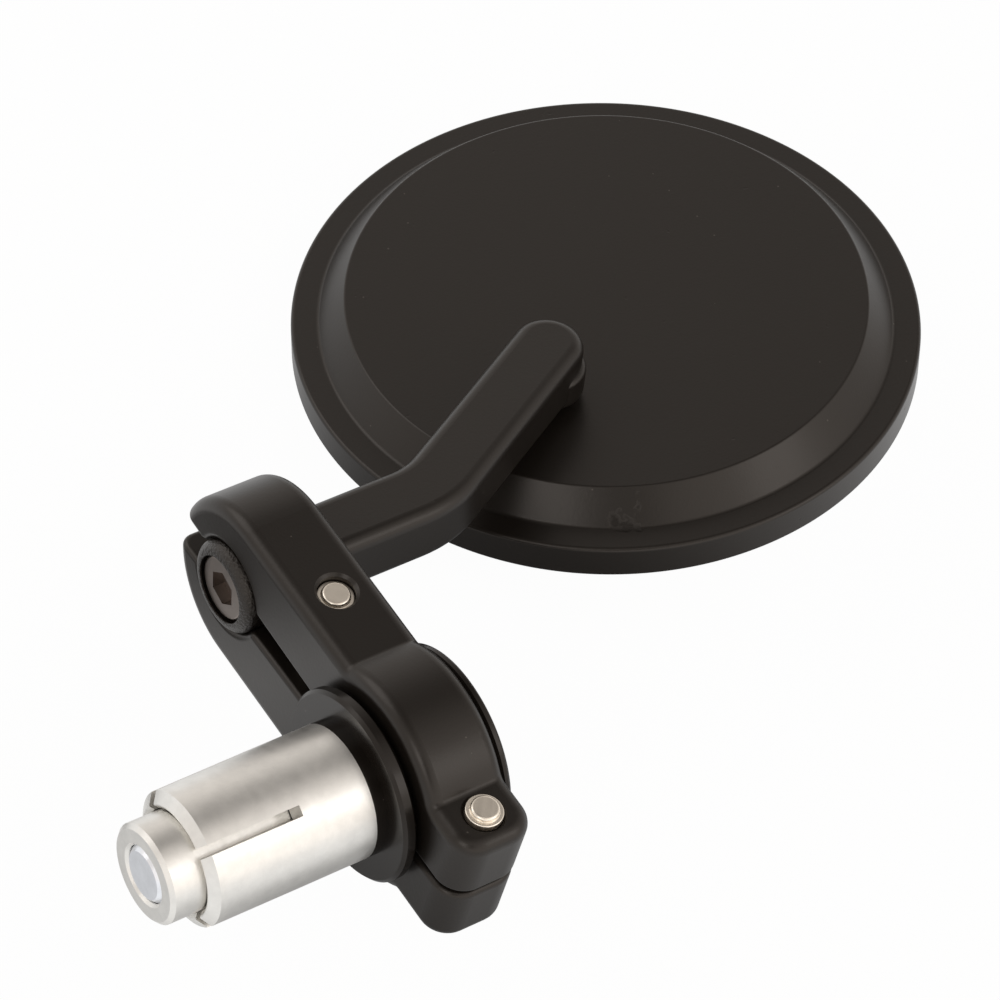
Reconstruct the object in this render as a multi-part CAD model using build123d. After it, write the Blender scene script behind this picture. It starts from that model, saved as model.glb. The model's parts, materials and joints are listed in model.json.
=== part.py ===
from build123d import *
import math
import os

# A bar end mirror: an expanding plug for the handlebar's bore, a split clamp that turns on it,
# a bent stem held in the clamp's fork, and a round convex mirror on a small ball joint.
# Millimetres. X runs along the bar, outboard positive, from the face that meets the bar's end.
# Y runs from the bar's axis to the stem's pivot axis. Z runs along the clamp's screws.

# Clearances shared by every fit
running = 0.05
slip = 0.15
side_gap = 0.3

# Socket screws
screw_head_edge = 0.4
screw_socket_share = 0.55

# Expanding plug
plug_radius = 8.25
sleeve_length = 21.6
sleeve_chamfer = 1.3
sleeve_chamfer_depth = 0.9
sleeve_bore = 5.2
mouth_chamfer = 0.45
slot_count = 4
slot_width = 1.3
slot_length = 12.9
slot_bearing = 30.0
finger_taper = 0.05
taper_length = 13.3
taper_rise = 1.1
wedge_clearance = 0.2
cone_overhang = 4.15
cone_chamfer = 0.5
key_width = 0.9
key_length = 3.0
bolt_thread = 7.0
bolt_mouth = 0.35
bolt_tip_edge = 0.55
bolt_head_radius = 5.25
bolt_head_height = 6.0
bolt_key = 5.0

# Hub and outer cap
collar_length = 1.4
flange_radius = 11.75
flange_width = 1.8
shoulder_radius = 10.6
shoulder_width = 0.4
flange_edge = 0.4
journal_radius = 9.6
spigot_length = 3.2
cap_radius = 12.3
cap_width = 1.2
cap_edge = 0.4
cap_spigot_radius = 7.0
cap_spigot_length = 7.6
cap_floor = 1.6
spring_washer = 1.4
spring_washer_cut = 20.0

# Split clamp
clamp_width = 10.3
clamp_ring_radius = 14.0
arm_half = 11.6
fork_reach = 10.5
ear_half = 8.45
ear_low_half = 10.3
ear_reach = 18.5
ear_draft = 0.6
ear_corner = 3.5
junction_round = 0.9
clamp_round = 1.7
split_gap = 2.0
split_angle = 1.75
split_round = 0.7
ear_split_gap = 0.6
ear_split_drop = 1.0
bore_round = 0.9
clamp_thread = 4.5
clamp_screw_clearance = 0.25
clamp_head_radius = 2.85
clamp_head_height = 4.0
clamp_key = 3.0
clamp_tip_edge = 0.8
arm_screw_place = 17.6
arm_head_depth = 4.6
arm_tip_depth = 0.4
tip_countersink = 0.35
ear_screw_margin = 4.3
ear_head_depth = 4.4
ear_tip_rise = 1.15
head_room = 0.15

# Stem
pivot_offset = 30.4
barrel_radius = 5.85
barrel_proud = 0.6
cup_length = 6.3
cup_wall = 1.35
cup_recess = 1.0
cup_edge = 0.35
pivot_thread = 5.0
pivot_head_clearance = 0.3
pivot_head_height = 3.4
pivot_key = 4.0
pivot_screw_bite = 10.0
pivot_tip_edge = 0.6
thread_runout = 1.0
stem_width = 8.8
stem_rise = 3.7
stem_depth = 4.2
stem_round = 1.65
stem_bend_place = 31.4
stem_bend_angle = 27.85
stem_bend_radius = 14.0
stem_leg = 30.5
stem_roll = -9.0

# Ball joint
ball_radius = 2.2
ball_drop = 1.0
seat_wall = 0.6
seat_split = 0.7
seat_depth = 1.85
neck_radius = 1.25
boss_radius = 5.05
boss_round = 0.8
socket_ring_radius = 3.6
socket_ring_height = 2.2
socket_mouth = 2.1
socket_mouth_flare = 0.5
ball_height = 4.6
foot_radius = 3.2
foot_thickness = 0.3
foot_round = 0.18
stud_collar_radius = 1.95
stud_collar_thickness = 0.35
stud_thread = 3.5
stud_tip_edge = 0.35

# Mirror head
head_radius = 40.0
head_depth = 8.6
rim_height = 4.7
rim_flat = 3.5
bevel_width = 3.4
bevel_round = 1.8
plateau_round = 0.4
rim_round = 0.5
lip_round = 0.4
rim_wall = 1.8
ledge_wall = 1.0
back_wall = 2.2
cavity_inset = 2.1
glass_thickness = 2.0
glass_bow_radius = 1200.0
glass_setback = 0.7
glass_chamfer = 0.3
pad_inset = 0.6
plate_radius = 7.0
plate_thickness = 0.8
nut_height = 2.2
nut_width = 6.0
head_pitch = -5.98
head_roll = -3.06
stud_offset = 18.9
stud_bearing = 2.9

# Places worked out from the sizes above
sleeve_start = -collar_length
sleeve_end = sleeve_start - sleeve_length
cone_end = sleeve_end - cone_overhang
clamp_in = flange_width + shoulder_width + side_gap
clamp_out = clamp_in + clamp_width
clamp_middle = clamp_in + clamp_width / 2
ear_screw_place = ear_reach - ear_screw_margin
arm_seat = arm_head_depth - arm_half
ear_seat = ear_head_depth - ear_low_half
cap_in = clamp_out + side_gap
cap_out = cap_in + cap_width
cap_seat = cap_in - cap_spigot_length + cap_floor
bolt_seat = cap_seat + spring_washer
barrel_in = clamp_in - barrel_proud
barrel_out = clamp_out + barrel_proud
cup_out = barrel_in + cup_length
pivot_head_radius = barrel_radius - cup_wall - pivot_head_clearance
socket_radius = ball_radius + running + seat_wall + running
bevel_radius = head_radius - rim_flat
plateau_radius = bevel_radius - bevel_width
cavity_radius = plateau_radius - cavity_inset
glass_radius = head_radius - rim_wall - side_gap
ledge_height = rim_height - ledge_wall
cavity_top = head_depth - back_wall

# The stem lies in its own plane, turned about the pivot axis
stem_frame = Location((0, pivot_offset, 0)) * Rot(X=stem_roll)
leg_end = Pos(stem_bend_place, 0, 0) * Rot(Z=stem_bend_angle) * Pos(stem_leg, 0, 0)

# The ball's frame follows the stem's outer leg, and its Z is the mirror's axis
ball_frame = stem_frame * leg_end * Pos(0, 0, -ball_drop) * Rot(X=head_roll) * Rot(Y=head_pitch)
head_frame = ball_frame * Rot(Z=stud_bearing) * Pos(stud_offset, 0, -ball_height - head_depth)


# Shared shapes

on_base = (Align.CENTER, Align.CENTER, Align.MIN)


def turned(*points):
    """Revolve a closed profile of (place along X, radius) points about the bar's axis."""
    return revolve(make_face(Polyline(*points, close=True)), Axis.X)


def post(radius, bottom, top):
    """A round bar on the Z axis."""
    return Pos(0, 0, bottom) * Cylinder(radius, top - bottom, align=on_base)


def rod(radius, start, end):
    """A round bar on the X axis."""
    return Rot(Y=90) * post(radius, start, end)


def ring_edges(shape, radius, axis, place):
    """The round edges of one radius, centred at one place along an axis."""
    def is_wanted(edge):
        along = edge.arc_center.dot(axis.direction)
        return abs(edge.radius - radius) < 0.01 and abs(along - place) < 0.01
    return [edge for edge in shape.edges().filter_by(GeomType.CIRCLE) if is_wanted(edge)]


def hexagon(across_flats, height):
    """A hexagonal bar on the Z axis, standing at zero."""
    return extrude(RegularPolygon(across_flats / 2, 6, major_radius=False), height)


def socket_screw(thread, length, head_size, head_height, key, tip_edge):
    """A socket head screw on the Z axis: its head's seat is at zero and its shank goes up."""
    screw = post(head_size, -head_height, 0) + post(thread / 2, 0, length)
    screw = chamfer(ring_edges(screw, head_size, Axis.Z, -head_height), screw_head_edge)
    screw = chamfer(ring_edges(screw, thread / 2, Axis.Z, length), tip_edge)
    return screw - Pos(0, 0, -head_height) * hexagon(key, head_height * screw_socket_share)


def bow(radius):
    """How far the mirror's curved glass falls back at a distance from its middle."""
    return glass_bow_radius - math.sqrt(glass_bow_radius ** 2 - radius ** 2)


# Expanding plug

def make_hub():
    spigot_end = sleeve_start - spigot_length
    hub = turned(
        (spigot_end, 0), (spigot_end, sleeve_bore - running), (sleeve_start, sleeve_bore - running),
        (sleeve_start, plug_radius), (0, plug_radius), (0, flange_radius), (flange_width, flange_radius),
        (flange_width, shoulder_radius), (flange_width + shoulder_width, shoulder_radius),
        (flange_width + shoulder_width, journal_radius), (cap_in, journal_radius), (cap_in, 0))
    hub = chamfer(ring_edges(hub, flange_radius, Axis.X, 0), flange_edge)
    hub = chamfer(ring_edges(hub, flange_radius, Axis.X, flange_width), flange_edge)
    hub -= rod(bolt_thread / 2 + slip, spigot_end, cap_in)
    return hub - rod(cap_spigot_radius + running, cap_in - cap_spigot_length, cap_in)


def make_outer_cap():
    spigot_end = cap_in - cap_spigot_length
    cap = turned(
        (spigot_end, 0), (spigot_end, cap_spigot_radius), (cap_in, cap_spigot_radius),
        (cap_in, cap_radius), (cap_out, cap_radius), (cap_out, 0))
    cap = fillet(ring_edges(cap, cap_radius, Axis.X, cap_out), cap_edge)
    cap = chamfer(ring_edges(cap, cap_radius, Axis.X, cap_in), flange_edge)
    cap -= rod(bolt_thread / 2 + slip, spigot_end, cap_out)
    cap -= rod(bolt_head_radius + slip, cap_seat, cap_out)
    return chamfer(ring_edges(cap, bolt_head_radius + slip, Axis.X, cap_out), flange_edge)


def make_bolt_washer():
    washer = rod(bolt_head_radius - slip, cap_seat, bolt_seat)
    washer -= rod(bolt_thread / 2 + slip, cap_seat, bolt_seat)
    # The spring washer's cut
    cut = Rot(X=spring_washer_cut) * Box(bolt_thread, side_gap, 2 * bolt_thread)
    return washer - Pos(bolt_seat, 0, bolt_thread) * cut


def make_expander_sleeve():
    # The slit fingers taper in slightly from the plain ring, so that the plug slides into the bar
    finger_radius = plug_radius - finger_taper
    sleeve = turned(
        (sleeve_end, sleeve_bore + taper_rise), (sleeve_end, finger_radius),
        (sleeve_end + slot_length, plug_radius), (sleeve_start, plug_radius),
        (sleeve_start, sleeve_bore), (sleeve_end + taper_length, sleeve_bore))
    outer_edges = ring_edges(sleeve, finger_radius, Axis.X, sleeve_end)
    sleeve = chamfer(outer_edges, sleeve_chamfer, sleeve_chamfer_depth)
    sleeve = chamfer(ring_edges(sleeve, sleeve_bore + taper_rise, Axis.X, sleeve_end), mouth_chamfer)
    slot = Pos(sleeve_end, 0, 0) * Box(2 * slot_length, slot_width, 2 * plug_radius, align=on_base)
    for index in range(slot_count):
        sleeve -= Rot(X=slot_bearing + index * 360 / slot_count) * slot
    return sleeve


def make_expander_cone():
    mouth = sleeve_bore + taper_rise - wedge_clearance
    tip = sleeve_bore - wedge_clearance
    cone = turned(
        (cone_end, 0), (cone_end, mouth), (sleeve_end, mouth),
        (sleeve_end + taper_length, tip), (sleeve_end + taper_length, 0))
    cone = chamfer(ring_edges(cone, mouth, Axis.X, cone_end), cone_chamfer)
    # A key in one slot keeps the cone from turning with the bolt
    key_top = sleeve_bore + taper_rise + (plug_radius - sleeve_bore - taper_rise) / 2
    key = Pos(sleeve_end + key_length / 2, 0, key_top / 2) * Box(key_length, key_width, key_top)
    cone += Rot(X=slot_bearing + 180) * key
    cone -= rod(bolt_thread / 2 + running, cone_end, sleeve_end + taper_length)
    return chamfer(ring_edges(cone, bolt_thread / 2 + running, Axis.X, cone_end), bolt_mouth)


def make_expander_bolt():
    length = bolt_seat - cone_end
    bolt = socket_screw(
        bolt_thread, length, bolt_head_radius, bolt_head_height, bolt_key, bolt_tip_edge)
    return Pos(bolt_seat, 0, 0) * Rot(Y=-90) * bolt


# Split clamp

def clamp_block():
    """Both clamp halves as one block, before its bores and split are cut."""
    outline = Circle(clamp_ring_radius)
    fork_middle = pivot_offset + fork_reach - arm_half
    outline += Pos(fork_middle / 2, 0) * Rectangle(fork_middle, 2 * arm_half)
    outline += Pos(fork_middle, 0) * Circle(arm_half)
    ear = Polyline(
        (0, ear_half), (-ear_reach, ear_half), (ear_draft - ear_reach, -ear_low_half),
        (0, -ear_low_half), close=True)
    outline += make_face(ear)
    block = extrude(Plane.YZ.offset(clamp_in) * outline, clamp_width)
    cross_edges = block.edges().filter_by(Axis.X)
    ends = cross_edges.filter_by_position(Axis.Y, -2 * ear_reach, -clamp_ring_radius)
    block = fillet(cross_edges - ends, junction_round)
    block = fillet(upright_edges(block), ear_corner)
    # The rounded rim runs along both sides and around the ear's end
    cross_edges = block.edges().filter_by(Axis.X)
    ends = cross_edges.filter_by_position(Axis.Y, -2 * ear_reach, -clamp_ring_radius)
    return fillet(block.edges() - cross_edges - upright_edges(block) + ends, clamp_round)


def upright_edges(block):
    """The straight edges that run nearly along Z, at the corners of the clamp's ear."""
    return block.edges().filter_by(GeomType.LINE).filter_by(lambda edge: abs((edge % 0.5).Z) > 0.9)


def bored_clamp():
    """The clamp block with the hub's bore and the stem's bore."""
    block = clamp_block()
    block -= rod(journal_radius + running, clamp_in, clamp_out)
    pivot_bore = barrel_radius + running
    block -= Pos(0, pivot_offset, 0) * rod(pivot_bore, clamp_in, clamp_out)
    for face_place in (clamp_in, clamp_out):
        block = fillet(ring_edges(block, pivot_bore, Axis.X, face_place), bore_round)
    return block


def clamp_half(side):
    """One half of the bored clamp, upper for 1 and lower for -1."""
    reach = 2 * (pivot_offset + clamp_ring_radius)
    room = Box(reach, reach, reach)
    # The split opens toward the fork, and is a thin lower cut through the ear
    fork_room = Pos(clamp_middle, reach / 2, side * (split_gap + reach) / 2) * room
    ear_room = Pos(clamp_middle, -reach / 2, side * (ear_split_gap + reach) / 2 - ear_split_drop) * room
    half = bored_clamp() & (Rot(X=side * split_angle) * fork_room + ear_room)
    return fillet(split_edges(half, side), split_round)


def split_edges(half, side):
    """The outer edges of the faces at the split, leaving the bores' edges sharp."""
    def is_outer(edge):
        middle = edge.center()
        from_hub = abs(math.hypot(middle.Y, middle.Z) - journal_radius - running)
        from_barrel = abs(math.hypot(middle.Y - pivot_offset, middle.Z) - barrel_radius - running)
        return min(from_hub, from_barrel) > bore_round + running
    down = Vector(0, 0, -side).rotate(Axis.X, side * split_angle)
    flats = half.faces().filter_by(GeomType.PLANE)
    faces = flats.filter_by(lambda face: face.normal_at().dot(down) > 0.999)
    return [edge for edge in faces.edges() if is_outer(edge)]


def make_upper_clamp_half():
    half = clamp_half(1)
    tapped = clamp_thread / 2 + running
    for place, top in ((arm_screw_place, arm_half), (-ear_screw_place, ear_half)):
        half -= Pos(clamp_middle, place, 0) * post(tapped, -clamp_ring_radius, top)
        countersink = Cone(tapped + tip_countersink, tapped, tip_countersink, align=on_base)
        half -= Pos(clamp_middle, place, top) * Rot(X=180) * countersink
    return half


def make_lower_clamp_half():
    half = clamp_half(-1)
    hole = clamp_thread / 2 + clamp_screw_clearance
    pocket = clamp_head_radius + head_room
    for place, seat in ((arm_screw_place, arm_seat), (-ear_screw_place, ear_seat)):
        half -= Pos(clamp_middle, place, 0) * post(hole, seat, split_gap)
        half -= Pos(clamp_middle, place, 0) * post(pocket, seat - clamp_ring_radius, seat)
    return half


def clamp_screw(place, seat, tip):
    """A clamp screw put in from below, with its seat and its tip at heights along Z."""
    screw = socket_screw(
        clamp_thread, tip - seat, clamp_head_radius, clamp_head_height, clamp_key, clamp_tip_edge)
    return Pos(clamp_middle, place, seat) * screw


def make_arm_screw():
    return clamp_screw(arm_screw_place, arm_seat, arm_half - arm_tip_depth)


def make_ear_screw():
    return clamp_screw(-ear_screw_place, ear_seat, ear_half + ear_tip_rise)


# Stem and its pivot

def make_stem():
    tip = tuple(leg_end.position)[:2]
    path = FilletPolyline((cup_out, 0), (stem_bend_place, 0), tip, radius=stem_bend_radius)
    plan = trace(path, stem_width) + leg_end * Circle(stem_width / 2)
    bar = extrude(Pos(0, 0, -stem_depth) * plan, stem_rise + stem_depth)
    levels = bar.faces().filter_by(Axis.Z).sort_by(Axis.Z)
    bar = fillet(levels[0].outer_wire().edges() + levels[-1].outer_wire().edges(), stem_round)
    barrel = rod(barrel_radius, cup_out, barrel_out)
    barrel = chamfer(ring_edges(barrel, barrel_radius, Axis.X, barrel_out), cup_edge)
    boss = post(boss_radius, -stem_depth, 0)
    boss = fillet(ring_edges(boss, boss_radius, Axis.Z, 0), boss_round)
    boss = fillet(ring_edges(boss, boss_radius, Axis.Z, -stem_depth), boss_round)
    stem = bar + barrel + leg_end * boss
    # The ball's socket: round at its top, with a counterbore for the ring that closes it
    socket = Sphere(socket_radius) + post(socket_radius, -stem_depth, 0)
    ring_top = ball_drop - stem_depth + socket_ring_height
    ring_pocket = post(socket_ring_radius + running, -stem_depth, ring_top)
    stem -= leg_end * Pos(0, 0, -ball_drop) * (socket + ring_pocket)
    tapped = pivot_thread / 2 + running
    return stem_frame * (stem - rod(tapped, cup_out, cup_out + pivot_screw_bite))


def make_pivot_cup():
    cup = rod(barrel_radius, barrel_in, cup_out)
    cup = fillet(ring_edges(cup, barrel_radius, Axis.X, barrel_in), cup_edge)
    seat = barrel_in + cup_recess + pivot_head_height
    cup -= rod(barrel_radius - cup_wall, barrel_in, seat)
    cup = fillet(ring_edges(cup, barrel_radius - cup_wall, Axis.X, barrel_in), cup_edge)
    return stem_frame * (cup - rod(pivot_thread / 2 + slip, seat, cup_out))


def make_pivot_screw():
    seat = barrel_in + cup_recess + pivot_head_height
    length = cup_out - seat + pivot_screw_bite - thread_runout
    screw = socket_screw(
        pivot_thread, length, pivot_head_radius, pivot_head_height, pivot_key, pivot_tip_edge)
    return stem_frame * Pos(seat, 0, 0) * Rot(Y=90) * screw


# Ball joint

def seat_shell():
    """A whole hollow plastic ball around the stud's ball."""
    return Sphere(ball_radius + running + seat_wall) - Sphere(ball_radius + running)


def make_upper_seat():
    top = post(socket_radius, seat_split / 2, socket_radius)
    return ball_frame * (seat_shell() & top)


def make_lower_seat():
    band = post(socket_radius, -seat_depth, -seat_split / 2)
    return ball_frame * ((seat_shell() & band) - post(neck_radius + slip, -seat_depth, 0))


def make_socket_ring():
    bottom = ball_drop - stem_depth
    ring = post(socket_ring_radius, bottom, bottom + socket_ring_height)
    ring -= Sphere(socket_radius)
    wide = socket_mouth + socket_mouth_flare
    narrow = socket_mouth - socket_mouth_flare
    ring -= Pos(0, 0, bottom) * Cone(wide, narrow, -bottom, align=on_base)
    return stem_frame * leg_end * Pos(0, 0, -ball_drop) * ring


def make_ball_stud():
    plateau = -ball_height
    collar_top = plateau + foot_thickness + stud_collar_thickness
    shank_end = plateau - back_wall - plate_thickness - nut_height - side_gap
    stud = Sphere(ball_radius) + post(neck_radius, collar_top, 0)
    stud += post(stud_collar_radius, plateau + foot_thickness, collar_top)
    stud += post(stud_thread / 2, shank_end, plateau + foot_thickness)
    stud = chamfer(ring_edges(stud, stud_thread / 2, Axis.Z, shank_end), stud_tip_edge)
    return ball_frame * stud


def make_foot_gasket():
    top = foot_thickness - ball_height
    foot = post(foot_radius, -ball_height, top)
    foot = fillet(ring_edges(foot, foot_radius, Axis.Z, top), foot_round)
    return ball_frame * (foot - post(stud_thread / 2 + slip, -ball_height, top))


# Mirror head

def make_mirror_housing():
    profile = Polyline(
        (0, cavity_top), (0, head_depth), (plateau_radius, head_depth), (bevel_radius, rim_height),
        (head_radius, rim_height), (head_radius, 0), (head_radius - rim_wall, 0),
        (head_radius - rim_wall, ledge_height), (cavity_radius, ledge_height),
        (cavity_radius, cavity_top), close=True)
    shell = revolve(Plane.XZ * make_face(profile), Axis.Z)
    shell = fillet(ring_edges(shell, plateau_radius, Axis.Z, head_depth), plateau_round)
    shell = fillet(ring_edges(shell, bevel_radius, Axis.Z, rim_height), bevel_round)
    shell = fillet(ring_edges(shell, head_radius, Axis.Z, rim_height), rim_round)
    shell = fillet(ring_edges(shell, head_radius, Axis.Z, 0), lip_round)
    shell = fillet(ring_edges(shell, head_radius - rim_wall, Axis.Z, 0), lip_round)
    hole = post(stud_thread / 2 + slip, cavity_top, head_depth)
    return head_frame * (shell - Pos(-stud_offset, 0, 0) * hole)


def make_stud_plate():
    top = -ball_height - back_wall
    plate = post(plate_radius, top - plate_thickness, top)
    return ball_frame * (plate - post(stud_thread / 2 + slip, top - plate_thickness, top))


def make_stud_nut():
    top = -ball_height - back_wall - plate_thickness
    nut = Pos(0, 0, top - nut_height) * hexagon(nut_width, nut_height)
    return ball_frame * (nut - post(stud_thread / 2 + running, top - nut_height, top))


def bowed_line(inner, outer, height):
    """A line across the mirror that follows the glass's curve."""
    stations = (inner, (inner + outer) / 2, outer)
    return ThreePointArc(*[(station, height + bow(station)) for station in stations])


def glass_profile(inner, outer, front, back):
    """A curved sheet's section between two distances from the middle."""
    front_curve = bowed_line(inner, outer, front)
    back_curve = bowed_line(inner, outer, back)
    ends = [Line(front_curve @ 0, back_curve @ 0), Line(front_curve @ 1, back_curve @ 1)]
    return make_face([front_curve, back_curve] + ends)


def make_mirror_glass():
    front = glass_setback - bow(glass_radius)
    back = front + glass_thickness
    glass = revolve(Plane.XZ * glass_profile(0, glass_radius, front, back), Axis.Z)
    glass = chamfer(ring_edges(glass, glass_radius, Axis.Z, glass_setback), glass_chamfer)
    return head_frame * glass


def make_glass_pad():
    pad_inner = cavity_radius + pad_inset
    pad_outer = glass_radius - pad_inset
    back = glass_setback - bow(glass_radius) + glass_thickness + running
    face = bowed_line(pad_inner, pad_outer, back)
    rest = Polyline(face @ 1, (pad_outer, ledge_height), (pad_inner, ledge_height), face @ 0)
    return head_frame * revolve(Plane.XZ * make_face([face, rest]), Axis.Z)


nodes = {
    "hub": make_hub,
    "outer_cap": make_outer_cap,
    "bolt_washer": make_bolt_washer,
    "expander_sleeve": make_expander_sleeve,
    "expander_cone": make_expander_cone,
    "expander_bolt": make_expander_bolt,
    "upper_clamp_half": make_upper_clamp_half,
    "lower_clamp_half": make_lower_clamp_half,
    "arm_screw": make_arm_screw,
    "ear_screw": make_ear_screw,
    "stem": make_stem,
    "pivot_cup": make_pivot_cup,
    "pivot_screw": make_pivot_screw,
    "upper_seat": make_upper_seat,
    "lower_seat": make_lower_seat,
    "socket_ring": make_socket_ring,
    "ball_stud": make_ball_stud,
    "foot_gasket": make_foot_gasket,
    "mirror_housing": make_mirror_housing,
    "stud_plate": make_stud_plate,
    "stud_nut": make_stud_nut,
    "glass_pad": make_glass_pad,
    "mirror_glass": make_mirror_glass,
}

os.makedirs("parts", exist_ok=True)
for name, make in nodes.items():
    export_step(make(), f"parts/{name}.step")
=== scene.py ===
# %% [markdown]
# # A bar end mirror
# The object is a small round mirror for the end of a motorcycle's handlebar. The exact pieces
# come from the measured model, already in place, in metres. This lesson gives each of them
# its finish, turns a few of them again with finer outlines, then sets up the table, the light
# and the camera.

# %% Load the measured pieces
import json
import math

import bmesh
import bpy
from mathutils import Matrix, Vector


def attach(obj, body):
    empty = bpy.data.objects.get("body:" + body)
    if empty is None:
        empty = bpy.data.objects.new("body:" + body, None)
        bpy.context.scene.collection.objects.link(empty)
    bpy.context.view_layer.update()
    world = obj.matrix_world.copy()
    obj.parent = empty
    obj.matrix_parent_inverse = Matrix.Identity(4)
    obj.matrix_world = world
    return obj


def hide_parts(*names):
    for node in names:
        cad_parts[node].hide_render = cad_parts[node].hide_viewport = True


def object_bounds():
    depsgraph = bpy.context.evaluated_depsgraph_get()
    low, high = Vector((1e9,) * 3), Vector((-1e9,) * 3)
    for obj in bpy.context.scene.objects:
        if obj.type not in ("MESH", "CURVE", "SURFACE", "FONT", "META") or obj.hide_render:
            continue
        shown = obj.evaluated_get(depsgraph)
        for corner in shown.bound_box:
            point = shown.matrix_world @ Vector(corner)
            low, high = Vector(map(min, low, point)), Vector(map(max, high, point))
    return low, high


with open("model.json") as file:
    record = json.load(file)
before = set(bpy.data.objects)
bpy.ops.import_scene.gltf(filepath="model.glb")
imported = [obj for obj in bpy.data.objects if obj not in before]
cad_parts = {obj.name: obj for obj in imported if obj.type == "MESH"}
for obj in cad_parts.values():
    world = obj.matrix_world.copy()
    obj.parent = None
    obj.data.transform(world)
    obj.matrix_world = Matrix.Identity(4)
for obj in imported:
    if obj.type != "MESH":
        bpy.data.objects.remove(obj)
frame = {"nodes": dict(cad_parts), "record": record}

cad_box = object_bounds()

# %% [markdown]
# ## Materials, one step at a time
# Every finish here is a Principled shader with a few texture nodes in front of it. Making one
# always starts the same way, so small helpers open a material, add a node with its settings, and
# open or place a group of nodes that several finishes share.

# %% Helpers for materials
def open_material(name, color, roughness, metallic=0.0):
    material = bpy.data.materials.new(name)
    material.use_nodes = True
    shader = material.node_tree.nodes["Principled BSDF"]
    shader.inputs["Base Color"].default_value = (*color, 1.0)
    shader.inputs["Roughness"].default_value = roughness
    shader.inputs["Metallic"].default_value = metallic
    return material, shader


def add_node(tree, kind, **settings):
    node = tree.nodes.new(kind)
    for key, value in settings.items():
        if key in node.inputs:
            node.inputs[key].default_value = value
        else:
            setattr(node, key, value)
    return node


def place_coordinates(tree):
    return add_node(tree, "ShaderNodeTexCoord").outputs["Object"]


def open_group(name, inputs, outputs):
    group = bpy.data.node_groups.new(name, "ShaderNodeTree")
    for socket_name, kind, default in inputs:
        socket = group.interface.new_socket(socket_name, in_out="INPUT", socket_type=kind)
        if default is not None:
            socket.default_value = default
    for socket_name, kind in outputs:
        group.interface.new_socket(socket_name, in_out="OUTPUT", socket_type=kind)
    entry = group.nodes.new("NodeGroupInput")
    leave = group.nodes.new("NodeGroupOutput")
    return group, entry, leave


def place_group(tree, group, **values):
    node = tree.nodes.new("ShaderNodeGroup")
    node.node_tree = group
    for key, value in values.items():
        node.inputs[key.replace("_", " ")].default_value = value
    return node


# %% [markdown]
# ## Paint skin
# Sprayed satin paint isn't a perfect film: it has a very fine orange peel, and its gloss drifts
# a little over a finger's width. Both are noise at two scales. A group holds them once, and each
# painted finish sets its own grain size and strength.

# %% Paint skin group
def make_paint_skin():
    group, entry, leave = open_group(
        "paint skin",
        [("Place", "NodeSocketVector", None), ("Grain size", "NodeSocketFloat", 3000.0),
         ("Roughness", "NodeSocketFloat", 0.5), ("Drift", "NodeSocketFloat", 0.12)],
        [("Height", "NodeSocketFloat"), ("Roughness", "NodeSocketFloat")])
    peel = add_node(group, "ShaderNodeTexNoise", Detail=2.0)
    group.links.new(entry.outputs["Place"], peel.inputs["Vector"])
    group.links.new(entry.outputs["Grain size"], peel.inputs["Scale"])
    group.links.new(peel.outputs["Fac"], leave.inputs["Height"])
    cloud = add_node(group, "ShaderNodeTexNoise", Scale=60.0, Detail=4.0)
    group.links.new(entry.outputs["Place"], cloud.inputs["Vector"])
    centred = add_node(group, "ShaderNodeMath", operation="SUBTRACT")
    centred.inputs[1].default_value = 0.5
    group.links.new(cloud.outputs["Fac"], centred.inputs[0])
    drift = add_node(group, "ShaderNodeMath", operation="MULTIPLY_ADD")
    group.links.new(centred.outputs["Value"], drift.inputs[0])
    group.links.new(entry.outputs["Drift"], drift.inputs[1])
    group.links.new(entry.outputs["Roughness"], drift.inputs[2])
    group.links.new(drift.outputs["Value"], leave.inputs["Roughness"])
    return group


paint_skin = make_paint_skin()
print("made", paint_skin.name)

# %% [markdown]
# ## Dust
# A black surface shows every speck. A Voronoi texture scatters points through space, and only
# the nearest part of each cell is kept, so tiny pale dots appear. Each cell has a random colour,
# which decides whether it keeps its speck, because dust never lies evenly.

# %% Dust group
def make_dust():
    group, entry, leave = open_group(
        "dust",
        [("Place", "NodeSocketVector", None), ("Spread", "NodeSocketFloat", 420.0),
         ("Speck", "NodeSocketFloat", 0.05), ("Share", "NodeSocketFloat", 0.78)],
        [("Mask", "NodeSocketFloat")])
    cells = add_node(group, "ShaderNodeTexVoronoi", feature="F1")
    group.links.new(entry.outputs["Place"], cells.inputs["Vector"])
    group.links.new(entry.outputs["Spread"], cells.inputs["Scale"])
    near = add_node(group, "ShaderNodeMath", operation="LESS_THAN")
    group.links.new(cells.outputs["Distance"], near.inputs[0])
    group.links.new(entry.outputs["Speck"], near.inputs[1])
    pick = add_node(group, "ShaderNodeSeparateColor")
    group.links.new(cells.outputs["Color"], pick.inputs["Color"])
    chosen = add_node(group, "ShaderNodeMath", operation="GREATER_THAN")
    group.links.new(pick.outputs["Red"], chosen.inputs[0])
    group.links.new(entry.outputs["Share"], chosen.inputs[1])
    both = add_node(group, "ShaderNodeMath", operation="MULTIPLY")
    group.links.new(near.outputs["Value"], both.inputs[0])
    group.links.new(chosen.outputs["Value"], both.inputs[1])
    group.links.new(both.outputs["Value"], leave.inputs["Mask"])
    return group


dust = make_dust()
print("made", dust.name)

# %% [markdown]
# ## Turning marks
# The sleeve and the cone are cut on a lathe. The tool leaves fine rings, which sit at the same
# place along the axis all the way round. One-dimensional noise along the bar's axis and along the
# radius gives those rings on the sides and on the end faces. Handling leaves faint stains on bare
# metal, so a soft patchy noise goes out as well.

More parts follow.
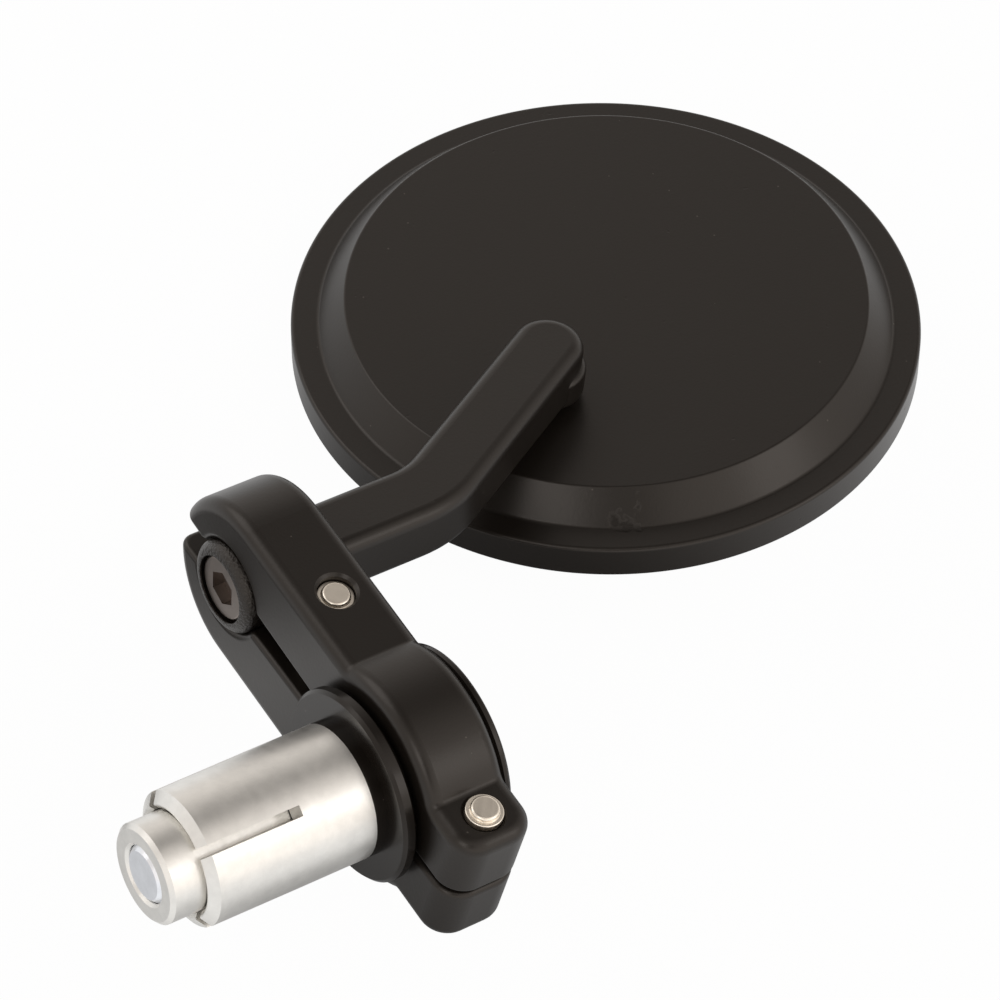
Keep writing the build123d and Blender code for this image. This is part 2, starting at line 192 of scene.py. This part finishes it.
# %% Turning marks group
def make_turning_marks():
    group, entry, leave = open_group(
        "turning marks",
        [("Place", "NodeSocketVector", None), ("Pitch", "NodeSocketFloat", 4000.0)],
        [("Height", "NodeSocketFloat"), ("Streak", "NodeSocketFloat"), ("Stain", "NodeSocketFloat")])
    split = add_node(group, "ShaderNodeSeparateXYZ")
    group.links.new(entry.outputs["Place"], split.inputs["Vector"])
    flat = add_node(group, "ShaderNodeCombineXYZ")
    group.links.new(split.outputs["Y"], flat.inputs["Y"])
    group.links.new(split.outputs["Z"], flat.inputs["Z"])
    radius = add_node(group, "ShaderNodeVectorMath", operation="LENGTH")
    group.links.new(flat.outputs["Vector"], radius.inputs[0])
    along = add_node(group, "ShaderNodeMath", operation="ADD")
    group.links.new(split.outputs["X"], along.inputs[0])
    group.links.new(radius.outputs["Value"], along.inputs[1])
    rings = add_node(group, "ShaderNodeTexNoise", noise_dimensions="1D", Detail=3.0)
    group.links.new(along.outputs["Value"], rings.inputs["W"])
    group.links.new(entry.outputs["Pitch"], rings.inputs["Scale"])
    group.links.new(rings.outputs["Fac"], leave.inputs["Height"])
    bands = add_node(group, "ShaderNodeTexNoise", noise_dimensions="1D", Scale=700.0, Detail=2.0)
    group.links.new(along.outputs["Value"], bands.inputs["W"])
    group.links.new(bands.outputs["Fac"], leave.inputs["Streak"])
    patches = add_node(group, "ShaderNodeTexNoise", Scale=600.0, Detail=5.0, Roughness=0.65)
    group.links.new(entry.outputs["Place"], patches.inputs["Vector"])
    group.links.new(patches.outputs["Fac"], leave.inputs["Stain"])
    return group


turning_marks = make_turning_marks()
print("made", turning_marks.name)

# %% [markdown]
# ## Satin black
# The clamp, the stem and the mirror's shell are cast and painted a warm satin black. Almost all
# that the eye sees on black paint is the reflection of the room, so the base colour is very dark
# and the roughness decides the look.

# %% Satin black paint
warm_black = (0.0070, 0.0054, 0.0042)
tint_of_sheen = (1.0, 0.93, 0.87)
dust_color = (0.055, 0.048, 0.042)
satin = {"roughness": 0.32, "grain": 2600.0, "bump": 0.10, "specular": 0.45}


def make_painted(name, color, roughness, grain, bump, specular, depth=0.0001):
    material, shader = open_material(name, color, roughness)
    shader.inputs["Specular IOR Level"].default_value = specular
    shader.inputs["Specular Tint"].default_value = (*tint_of_sheen, 1.0)
    tree = material.node_tree
    place = place_coordinates(tree)
    skin = place_group(tree, paint_skin, Grain_size=grain, Roughness=roughness)
    tree.links.new(place, skin.inputs["Place"])
    tree.links.new(skin.outputs["Roughness"], shader.inputs["Roughness"])
    relief = add_node(tree, "ShaderNodeBump", Strength=bump, Distance=depth)
    tree.links.new(skin.outputs["Height"], relief.inputs["Height"])
    tree.links.new(relief.outputs["Normal"], shader.inputs["Normal"])
    specks = place_group(tree, dust)
    tree.links.new(place, specks.inputs["Place"])
    tint = add_node(tree, "ShaderNodeMix", data_type="RGBA")
    tint.inputs["A"].default_value = (*color, 1.0)
    tint.inputs["B"].default_value = (*dust_color, 1.0)
    tree.links.new(specks.outputs["Mask"], tint.inputs["Factor"])
    tree.links.new(tint.outputs["Result"], shader.inputs["Base Color"])
    return material


satin_black = make_painted("satin black", warm_black, **satin)
gloss_black = make_painted(
    "gloss black", warm_black, roughness=0.22, grain=900.0, bump=0.03, specular=0.34)
cast_black = make_painted(
    "rough black", warm_black, roughness=0.34, grain=3000.0, bump=0.8, specular=0.5, depth=0.0002)
print("made", satin_black.name, gloss_black.name, cast_black.name)

# %% [markdown]
# ## Bare metal
# The sleeve and the cone are bright turned aluminium, the screw tips are nickel plated, the bolt
# is zinc plated and the screw in the cup is blackened. Metal has no base colour of its own apart
# from its reflection, so the tint goes into the base colour, a little darker where it is stained,
# and the turning marks go into the roughness and the relief.

# %% Turned metals
stained_share = 0.92


def make_turned_metal(name, color, roughness, streak, bump):
    material, shader = open_material(name, color, roughness, metallic=1.0)
    tree = material.node_tree
    place = place_coordinates(tree)
    marks = place_group(tree, turning_marks)
    tree.links.new(place, marks.inputs["Place"])
    spread = add_node(tree, "ShaderNodeMapRange")
    spread.inputs["To Min"].default_value = roughness - streak
    spread.inputs["To Max"].default_value = roughness + streak
    tree.links.new(marks.outputs["Streak"], spread.inputs["Value"])
    tree.links.new(spread.outputs["Result"], shader.inputs["Roughness"])
    relief = add_node(tree, "ShaderNodeBump", Strength=bump, Distance=0.00005)
    tree.links.new(marks.outputs["Height"], relief.inputs["Height"])
    tree.links.new(relief.outputs["Normal"], shader.inputs["Normal"])
    stain = add_node(tree, "ShaderNodeMapRange")
    stain.inputs["From Min"].default_value = 0.35
    stain.inputs["From Max"].default_value = 0.65
    tree.links.new(marks.outputs["Stain"], stain.inputs["Value"])
    tint = add_node(tree, "ShaderNodeMix", data_type="RGBA")
    tint.inputs["A"].default_value = (*(channel * stained_share for channel in color), 1.0)
    tint.inputs["B"].default_value = (*color, 1.0)
    tree.links.new(stain.outputs["Result"], tint.inputs["Factor"])
    tree.links.new(tint.outputs["Result"], shader.inputs["Base Color"])
    return material


turned_aluminium = make_turned_metal(
    "turned aluminium", (0.85, 0.835, 0.80), roughness=0.37, streak=0.07, bump=0.05)
nickel_steel = make_turned_metal(
    "nickel plate", (0.94, 0.86, 0.75), roughness=0.32, streak=0.08, bump=0.1)
zinc_steel = make_turned_metal(
    "zinc plate", (0.90, 0.92, 0.96), roughness=0.3, streak=0.08, bump=0.1)
dark_steel = make_turned_metal(
    "blackened steel", (0.29, 0.25, 0.225), roughness=0.36, streak=0.10, bump=0.2)
print("made", turned_aluminium.name, nickel_steel.name, zinc_steel.name, dark_steel.name)

# %% [markdown]
# ## Hidden finishes
# The mirror's glass is on the far side, with a foam ring behind it. The ball's seats are pale
# plastic and the foot is a rubber washer. Some of them show from other sides, so they get their
# own finish too.

# %% Glass, rubber and plastic
def make_mirror_coating():
    material, shader = open_material("mirror coating", (0.86, 0.87, 0.88), 0.02, metallic=1.0)
    shader.inputs["Coat Weight"].default_value = 1.0
    shader.inputs["Coat Roughness"].default_value = 0.01
    tree = material.node_tree
    film = add_node(tree, "ShaderNodeTexNoise", Scale=40.0, Detail=5.0)
    tree.links.new(place_coordinates(tree), film.inputs["Vector"])
    haze = add_node(tree, "ShaderNodeMapRange")
    haze.inputs["From Min"].default_value = 0.45
    haze.inputs["From Max"].default_value = 0.8
    haze.inputs["To Min"].default_value = 0.015
    haze.inputs["To Max"].default_value = 0.07
    tree.links.new(film.outputs["Fac"], haze.inputs["Value"])
    tree.links.new(haze.outputs["Result"], shader.inputs["Roughness"])
    return material


mirror_coating = make_mirror_coating()
black_rubber = make_painted(
    "black rubber", (0.012, 0.012, 0.012), roughness=0.75, grain=1800.0, bump=0.4, specular=0.3)
seat_plastic = make_painted(
    "natural plastic", (0.72, 0.71, 0.67), roughness=0.45, grain=1200.0, bump=0.1, specular=0.5)
print("made", mirror_coating.name, black_rubber.name, seat_plastic.name)

# %% [markdown]
# ## Dressing the pieces
# The record of the model names a finish slot for every piece. A table from slot to material
# is enough to dress them all, and a piece that was forgotten would stop the script here.

# %% Give every piece its finish
finishes = {
    "satin_black": satin_black, "gloss_black": gloss_black, "cast_black": cast_black,
    "dark_steel": dark_steel, "nickel_steel": nickel_steel, "zinc_steel": zinc_steel,
    "turned_aluminium": turned_aluminium, "seat_plastic": seat_plastic,
    "black_rubber": black_rubber, "mirror_coating": mirror_coating,
}
for subpart in frame["record"]["subparts"]:
    piece = frame["nodes"][subpart["node"]]
    piece.data.materials.clear()
    piece.data.materials.append(finishes[subpart["material_slot"]])

# %% [markdown]
# ## Pieces turned on a lathe
# A lathe cuts a round piece from one outline, so a mesh can be made the same way: the corners of
# the outline get their small rounds, and the outline is swept round the axis. Each round has a
# narrow flat on both sides of it, which keeps the shading of the flat faces even. A screw also
# gets a six-sided socket, which is a ring of points at the reach of a hexagon.

# %% Lathe helpers
sharp_edge = math.radians(24)


def round_corners(corners, steps=6, shoulder=0.00004):
    outline = []
    for index, (radius, height, rounding) in enumerate(corners):
        corner = Vector((radius, height))
        if rounding == 0:
            outline.append(corner)
            continue
        before = (Vector(corners[index - 1][:2]) - corner).normalized()
        after = (Vector(corners[(index + 1) % len(corners)][:2]) - corner).normalized()
        half = before.angle(after) / 2
        reach = rounding / math.tan(half)
        centre = corner + (before + after).normalized() * rounding / math.sin(half)
        first = (corner + before * reach - centre).normalized()
        last = (corner + after * reach - centre).normalized()
        outline.append(corner + before * (reach + shoulder))
        outline += [centre + first.slerp(last, step / steps) * rounding for step in range(steps + 1)]
        outline.append(corner + after * (reach + shoulder))
    return outline


def lathe(name, outline, start, axis, turns, socket=None):
    across = axis.orthogonal().normalized()
    other = axis.cross(across).normalized()
    angles = [2 * math.pi * turn / turns for turn in range(turns)]
    circle = [across * math.cos(angle) + other * math.sin(angle) for angle in angles]
    points, rows, faces = [], [], []
    for radius, height in outline:
        spokes = circle if radius > 0 else circle[:1]
        rows.append(range(len(points), len(points) + len(spokes)))
        points += [start + axis * height + spoke * radius for spoke in spokes]
    if socket:
        half_key, mouth, floor = socket
        corner = math.pi / 6
        reaches = [half_key / math.cos((angle + corner) % (2 * corner) - corner) for angle in angles]
        for height in (mouth, floor):
            rows.append(range(len(points), len(points) + turns))
            points += [start + axis * height + spoke * reach for spoke, reach in zip(circle, reaches)]
        rows.append(range(len(points), len(points) + 1))
        points.append(start + axis * floor)
    for row, following in zip(rows, rows[1:] + rows[:1]):
        for turn in range(turns):
            later = turn + 1
            loop = [row[turn % len(row)], row[later % len(row)],
                    following[later % len(following)], following[turn % len(following)]]
            loop = list(dict.fromkeys(loop))
            if len(loop) > 2:
                faces.append(loop)
    mesh = bpy.data.meshes.new(name)
    mesh.from_pydata(points, [], faces)
    work = bmesh.new()
    work.from_mesh(mesh)
    bmesh.ops.recalc_face_normals(work, faces=work.faces)
    for face in work.faces:
        face.smooth = True
    for edge in work.edges:
        edge.smooth = edge.calc_face_angle(0.0) < sharp_edge
    work.to_mesh(mesh)
    work.free()
    piece = bpy.data.objects.new(name, mesh)
    bpy.context.collection.objects.link(piece)
    return piece


# %% [markdown]
# ## The mirror's shell
# The shell is one turned cup: a flat back, a bevel, a narrow flat rim and a thin lip round the
# glass. The real bevel meets the rim in a tight inside corner, which shows as a thin dark line,
# so this outline has a smaller round there than the measured piece and many more facets.

# %% Mirror shell
shell_base = Vector((0.0760142, 0.0521750, -0.0157976))
shell_axis = Vector((-0.116916, 0.153655, 0.981183)).normalized()
shell_corners = [
    (0.0, 0.0086, 0.0), (0.0331, 0.0086, 0.0004), (0.0365, 0.0047, 0.0007), (0.03997, 0.0047, 0.0005),
    (0.03997, 0.0, 0.0004), (0.0382, 0.0, 0.0004), (0.0382, 0.0037, 0.0), (0.0310, 0.0037, 0.0),
    (0.0310, 0.0064, 0.0), (0.0, 0.0064, 0.0),
]
shell = lathe("mirror_shell", round_corners(shell_corners), shell_base, shell_axis, turns=256)
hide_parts("mirror_housing")
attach(shell, "head")
print("shell faces:", len(shell.data.polygons))

# %% [markdown]
# ## Scuffs on the bevel
# Somebody has set the mirror down on its edge: the near bevel has a few small dark marks. They are
# shallow pits in the paint, so a patchy noise is kept only close to one place on the bevel, and
# it lowers the relief and dulls the paint there. Only the shell has them.

# %% Scuffed satin black
def add_scuffs(material, centre, reach):
    tree = material.node_tree
    shader = tree.nodes["Principled BSDF"]
    place = place_coordinates(tree)
    patches = add_node(tree, "ShaderNodeTexNoise", Scale=620.0, Detail=2.0)
    tree.links.new(place, patches.inputs["Vector"])
    distance = add_node(tree, "ShaderNodeVectorMath", operation="DISTANCE")
    distance.inputs[1].default_value = centre
    tree.links.new(place, distance.inputs[0])
    closeness = add_node(tree, "ShaderNodeMapRange", interpolation_type="SMOOTHSTEP")
    closeness.inputs["From Min"].default_value = reach
    closeness.inputs["From Max"].default_value = 0.0
    closeness.inputs["To Max"].default_value = 0.36
    tree.links.new(distance.outputs["Value"], closeness.inputs["Value"])
    sum_of_both = add_node(tree, "ShaderNodeMath", operation="ADD")
    tree.links.new(patches.outputs["Fac"], sum_of_both.inputs[0])
    tree.links.new(closeness.outputs["Result"], sum_of_both.inputs[1])
    mark = add_node(tree, "ShaderNodeMapRange")
    mark.inputs["From Min"].default_value = 0.74
    mark.inputs["From Max"].default_value = 0.90
    tree.links.new(sum_of_both.outputs["Value"], mark.inputs["Value"])
    dull = add_node(tree, "ShaderNodeMath", operation="MULTIPLY_ADD", use_clamp=True)
    dull.inputs[1].default_value = 0.45
    tree.links.new(mark.outputs["Result"], dull.inputs[0])
    tree.links.new(shader.inputs["Roughness"].links[0].from_socket, dull.inputs[2])
    tree.links.new(dull.outputs["Value"], shader.inputs["Roughness"])
    pit = add_node(tree, "ShaderNodeBump", invert=True, Strength=0.3, Distance=0.0002)
    tree.links.new(mark.outputs["Result"], pit.inputs["Height"])
    tree.links.new(shader.inputs["Normal"].links[0].from_socket, pit.inputs["Normal"])
    tree.links.new(pit.outputs["Normal"], shader.inputs["Normal"])


scuffed_black = make_painted("scuffed satin black", warm_black, **satin)
add_scuffs(scuffed_black, centre=(0.0571, 0.0223, -0.0075), reach=0.0050)
shell.data.materials.append(scuffed_black)
print("made", scuffed_black.name)

# %% [markdown]
# ## The pivot's cup
# A small rough casting sits in the clamp's fork and hides the pivot screw. It has a thin mouth just
# over the screw's head, and its shoulder falls away in a quarter of an ellipse, into the clamp's
# bore. It is a lathe piece as well, turned about the axis of the pivot, which runs along the bar.

# %% Pivot cup
pivot_start = Vector((0.0, 0.0304, 0.0))
along_bar = Vector((1.0, 0.0, 0.0))
cup_mouth, cup_shoulder, cup_seat, cup_end = 0.0016, 0.0030, 0.0063, 0.0082
mouth_radius, lip, cup_radius = 0.00425, 0.00015, 0.00585
bore_radius, hole_radius = 0.0045, 0.00265
mouth_depth, lead_depth = 0.0002, 0.0006
shoulder_steps = 12

cup_outline = [
    (bore_radius, cup_mouth + lead_depth), (mouth_radius, cup_mouth + mouth_depth),
    (mouth_radius, cup_mouth),
]
for step in range(shoulder_steps + 1):
    angle = math.pi / 2 * step / shoulder_steps
    cup_outline.append((mouth_radius + lip + (cup_radius - mouth_radius - lip) * math.sin(angle),
                        cup_shoulder - (cup_shoulder - cup_mouth) * math.cos(angle)))
cup_outline += [
    (cup_radius, cup_end), (hole_radius, cup_end), (hole_radius, cup_seat), (bore_radius, cup_seat),
]
cup = lathe("turned_cup", cup_outline, pivot_start, along_bar, turns=128)
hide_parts("pivot_cup")
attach(cup, "stem_arm")
cup.data.materials.append(cast_black)
print("cup faces:", len(cup.data.polygons))

# %% [markdown]
# ## Screws
# Two plated screws pull the clamp's halves together, put in from below, and only their ends show
# on top. Each end is a round button on a narrow step, the lead that helps a screw find its thread.
# The pivot's screw is blackened, and its head fills the cup nearly to the mouth. Each screw is one
# outline from its tip to the face of its head, with a socket in it. The flat face ends just past
# the corners of the socket, which lie at 1.155 times its half width.

# %% Screws
face_margin = 1.16
clamp_screw_row = 0.00765


def make_socket_screw(name, node, body, slot_name, start, axis, corners, half_key, key_depth):
    head_face = corners[-1][1]
    outline = round_corners(corners + [(half_key * face_margin, head_face, 0.0)])
    screw = lathe(
        name, outline, start, axis, turns=96, socket=(half_key, head_face, head_face + key_depth))
    screw.data.materials.append(finishes[slot_name])
    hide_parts(node)
    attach(screw, body)
    return screw


def make_clamp_screw(name, node, place, head_face, tip_end):
    thread, button, head, head_height = 0.00225, 0.00172, 0.00285, 0.0040
    button_height, half_key, key_depth = 0.00062, 0.0015, 0.0022
    step_height = tip_end - button_height
    corners = [
        (0.0, tip_end, 0.0), (button, tip_end, 0.00035), (button, step_height, 0.0001),
        (thread, step_height, 0.00015), (thread, head_face + head_height, 0.0),
        (head, head_face + head_height, 0.0), (head, head_face, 0.0004),
    ]
    upward = Vector((0.0, 0.0, 1.0))
    return make_socket_screw(
        name, node, "clamp", "nickel_steel", place, upward, corners, half_key, key_depth)


def make_pivot_screw():
    thread, thread_end, head, head_face = 0.0025, 0.0172, 0.0041, 0.0020
    half_key, key_depth = 0.0020, 0.0015
    corners = [
        (0.0, thread_end, 0.0), (thread, thread_end, 0.0006), (thread, cup_seat, 0.0),
        (head, cup_seat, 0.0), (head, head_face, 0.0004),
    ]
    return make_socket_screw(
        "cup_screw", "pivot_screw", "stem_arm", "dark_steel", pivot_start, along_bar, corners,
        half_key, key_depth)


ear_place = Vector((clamp_screw_row, -0.0142, 0.0))
arm_place = Vector((clamp_screw_row, 0.0176, 0.0))
screws = [
    make_clamp_screw("ear_clamp_screw", "ear_screw", ear_place, head_face=-0.0099, tip_end=0.0096),
    make_clamp_screw("arm_clamp_screw", "arm_screw", arm_place, head_face=-0.0110, tip_end=0.0112),
    make_pivot_screw(),
]
print("screws:", [screw.name for screw in screws])

# %% [markdown]
# ## The table
# The object lies over a white table. To the camera and in reflections the table is nearly pure
# white, and a share of plain diffuse white stays in it to hold the soft shadow. In reflections
# a few spots of the table are darker, where the head, the clamp, the arm and the plug shade it.
# Each spot has its centre, the distances at which it starts and stops fading, and the tone inside.

# %% White table
white_share = 0.97
table_shades = [
    ((0.052, 0.026, 0.0), 0.012, 0.070, 0.18),
    ((0.008, -0.008, 0.0), 0.010, 0.050, 0.35),
    ((-0.022, 0.050, 0.0), 0.008, 0.024, 0.10),
    ((-0.041, 0.014, 0.0), 0.004, 0.028, 0.60),
]


def shade_spot(tree, centre, near, far, dark):
    distance = add_node(tree, "ShaderNodeVectorMath", operation="DISTANCE")
    distance.inputs[1].default_value = centre
    tree.links.new(place_coordinates(tree), distance.inputs[0])
    fade = add_node(tree, "ShaderNodeMapRange", interpolation_type="SMOOTHSTEP")
    fade.inputs["From Min"].default_value = near
    fade.inputs["From Max"].default_value = far
    fade.inputs["To Min"].default_value = dark
    fade.inputs["To Max"].default_value = white_share
    tree.links.new(distance.outputs["Value"], fade.inputs["Value"])
    return fade.outputs["Result"]


def make_table_finish():
    material = bpy.data.materials.new("white table")
    material.use_nodes = True
    tree = material.node_tree
    tree.nodes.clear()
    leave = tree.nodes.new("ShaderNodeOutputMaterial")
    paper = add_node(tree, "ShaderNodeBsdfDiffuse", Color=(0.86, 0.86, 0.86, 1.0))
    glow = add_node(tree, "ShaderNodeEmission", Strength=1.0)
    spots = [shade_spot(tree, *values) for values in table_shades]
    darkest = spots[0]
    for spot in spots[1:]:
        darker = add_node(tree, "ShaderNodeMath", operation="MINIMUM")
        tree.links.new(darkest, darker.inputs[0])
        tree.links.new(spot, darker.inputs[1])
        darkest = darker.outputs["Value"]
    shade = add_node(tree, "ShaderNodeMix", data_type="RGBA")
    shade.inputs["B"].default_value = (1.0, 1.0, 1.0, 1.0)
    seen = add_node(tree, "ShaderNodeMixShader")
    path = add_node(tree, "ShaderNodeLightPath")
    tree.links.new(path.outputs["Is Camera Ray"], shade.inputs["Factor"])
    tree.links.new(darkest, shade.inputs["A"])
    tree.links.new(shade.outputs["Result"], glow.inputs["Color"])
    direct = add_node(tree, "ShaderNodeMath", operation="MAXIMUM")
    tree.links.new(path.outputs["Is Camera Ray"], direct.inputs[0])
    tree.links.new(path.outputs["Is Glossy Ray"], direct.inputs[1])
    any_view = add_node(tree, "ShaderNodeMath", operation="MAXIMUM")
    tree.links.new(direct.outputs["Value"], any_view.inputs[0])
    tree.links.new(path.outputs["Is Transmission Ray"], any_view.inputs[1])
    share = add_node(tree, "ShaderNodeMath", operation="MULTIPLY")
    share.inputs[1].default_value = white_share
    tree.links.new(any_view.outputs["Value"], share.inputs[0])
    tree.links.new(share.outputs["Value"], seen.inputs["Fac"])
    tree.links.new(paper.outputs["BSDF"], seen.inputs[1])
    tree.links.new(glow.outputs["Emission"], seen.inputs[2])
    tree.links.new(seen.outputs["Shader"], leave.inputs["Surface"])
    return material


low, high = (Vector(corner) for corner in cad_box)
table_half = 3.0
table_mesh = bpy.data.meshes.new("table")
table_corners = [(x * table_half, y * table_half, 0) for x, y in ((-1, -1), (1, -1), (1, 1), (-1, 1))]
table_mesh.from_pydata(table_corners, [], [(0, 1, 2, 3)])
table = bpy.data.objects.new("table", table_mesh)
table.location.z = low.z
table_mesh.materials.append(make_table_finish())
bpy.context.collection.objects.link(table)
print("table at", round(low.z * 1000, 2), "mm")

# %% [markdown]
# ## Light
# A white tent gives black paint its soft grey sheen. The world is a pale sky, brighter near the
# horizon, in a wide panel at the front and in a small one in the roof, with a dark opening where
# the photographer stands and a dim far corner. Each of these is a patch round a direction: it sets
# in at one closeness to that direction, is full at another, and adds or takes away its strength.
# Three soft lamps make the broad highlights on the rounded edges.

# %% World and lamps
horizon_strength, zenith_strength, darkest_strength = 0.86, 0.12, 0.05
tent_color = (1.0, 0.945, 0.895)
bright_panels = [
    ((-0.05, -0.86, 0.50), 0.30, 0.90, 0.55),
    ((0.43, -0.14, 0.89), 0.90, 0.99, 0.24),
]
dark_gaps = [
    ((-0.47, -0.63, 0.615), 0.955, 0.99, 0.95),
    ((0.60, 0.36, 0.715), 0.88, 0.985, 0.20),
]


def sky_patch(tree, direction, centre, edge, full, strength):
    nearness = add_node(tree, "ShaderNodeVectorMath", operation="DOT_PRODUCT")
    nearness.inputs[1].default_value = Vector(centre).normalized()
    tree.links.new(direction, nearness.inputs[0])
    patch = add_node(tree, "ShaderNodeMapRange", interpolation_type="SMOOTHSTEP")
    patch.inputs["From Min"].default_value = edge
    patch.inputs["From Max"].default_value = full
    patch.inputs["To Max"].default_value = strength
    tree.links.new(nearness.outputs["Value"], patch.inputs["Value"])
    return patch.outputs["Result"]


def make_world():
    world = bpy.data.worlds.new("white tent")
    world.use_nodes = True
    tree = world.node_tree
    sky = tree.nodes["Background"]
    turn = add_node(tree, "ShaderNodeTexCoord")
    split = add_node(tree, "ShaderNodeSeparateXYZ")
    tree.links.new(turn.outputs["Generated"], split.inputs["Vector"])
    rise = add_node(tree, "ShaderNodeMath", operation="POWER")
    rise.inputs[1].default_value = 3.0
    tree.links.new(split.outputs["Z"], rise.inputs[0])
    fade = add_node(tree, "ShaderNodeMapRange")
    fade.inputs["To Min"].default_value = horizon_strength
    fade.inputs["To Max"].default_value = zenith_strength
    tree.links.new(rise.outputs["Value"], fade.inputs["Value"])
    strength = fade.outputs["Result"]
    for operation, patches in (("ADD", bright_panels), ("SUBTRACT", dark_gaps)):
        for patch in patches:
            change = add_node(tree, "ShaderNodeMath", operation=operation)
            tree.links.new(strength, change.inputs[0])
            tree.links.new(sky_patch(tree, turn.outputs["Generated"], *patch), change.inputs[1])
            strength = change.outputs["Value"]
    never_negative = add_node(tree, "ShaderNodeMath", operation="MAXIMUM")
    never_negative.inputs[1].default_value = darkest_strength
    tree.links.new(strength, never_negative.inputs[0])
    tree.links.new(never_negative.outputs["Value"], sky.inputs["Strength"])
    sky.inputs["Color"].default_value = (*tent_color, 1.0)
    bpy.context.scene.world = world


def add_soft_lamp(name, direction, distance, size, power, target):
    lamp = bpy.data.lights.new(name, "AREA")
    lamp.shape = "SQUARE"
    lamp.size = size
    lamp.energy = power
    holder = bpy.data.objects.new(name, lamp)
    holder.location = target + Vector(direction).normalized() * distance
    holder.rotation_euler = (target - holder.location).to_track_quat("-Z", "Y").to_euler()
    bpy.context.collection.objects.link(holder)
    return holder


make_world()
middle = (low + high) / 2
lamps = [
    add_soft_lamp("right lamp", (0.44, -0.66, 0.60), distance=0.7, size=0.26, power=0.27, target=middle),
    add_soft_lamp("left lamp", (-0.74, -0.36, 0.57), distance=0.9, size=0.32, power=0.55, target=middle),
    add_soft_lamp("back lamp", (-0.5, 0.65, 0.55), distance=0.9, size=0.6, power=1.3, target=middle),
]
print("lamps:", [lamp.name for lamp in lamps])

# %% [markdown]
# ## The camera
# A long lens stands well back, so lines that run parallel on the object stay nearly parallel in
# the picture. Its place and its tilt come from fitting the model's circles to the ones in the
# photograph.

# %% Camera
view_place = Vector((-0.24099, -0.23779, 0.45630))
view_forward = Vector((0.46926, 0.44358, -0.76356))
view_up = Vector((0.33377, 0.71144, 0.61842))

camera_data = bpy.data.cameras.new("camera")
camera_data.sensor_width = 36.0
camera_data.lens = 180.0
camera_data.clip_start = 0.01
camera_data.clip_end = 20.0
camera = bpy.data.objects.new("camera", camera_data)
view_right = view_forward.cross(view_up).normalized()
view_top = view_right.cross(view_forward).normalized()
view_turn = Matrix((view_right, view_top, -view_forward.normalized())).transposed()
camera.matrix_world = Matrix.Translation(view_place) @ view_turn.to_4x4()
bpy.context.collection.objects.link(camera)
bpy.context.scene.camera = camera
bpy.context.scene.view_settings.view_transform = "Standard"
print("lens", camera_data.lens, "mm")
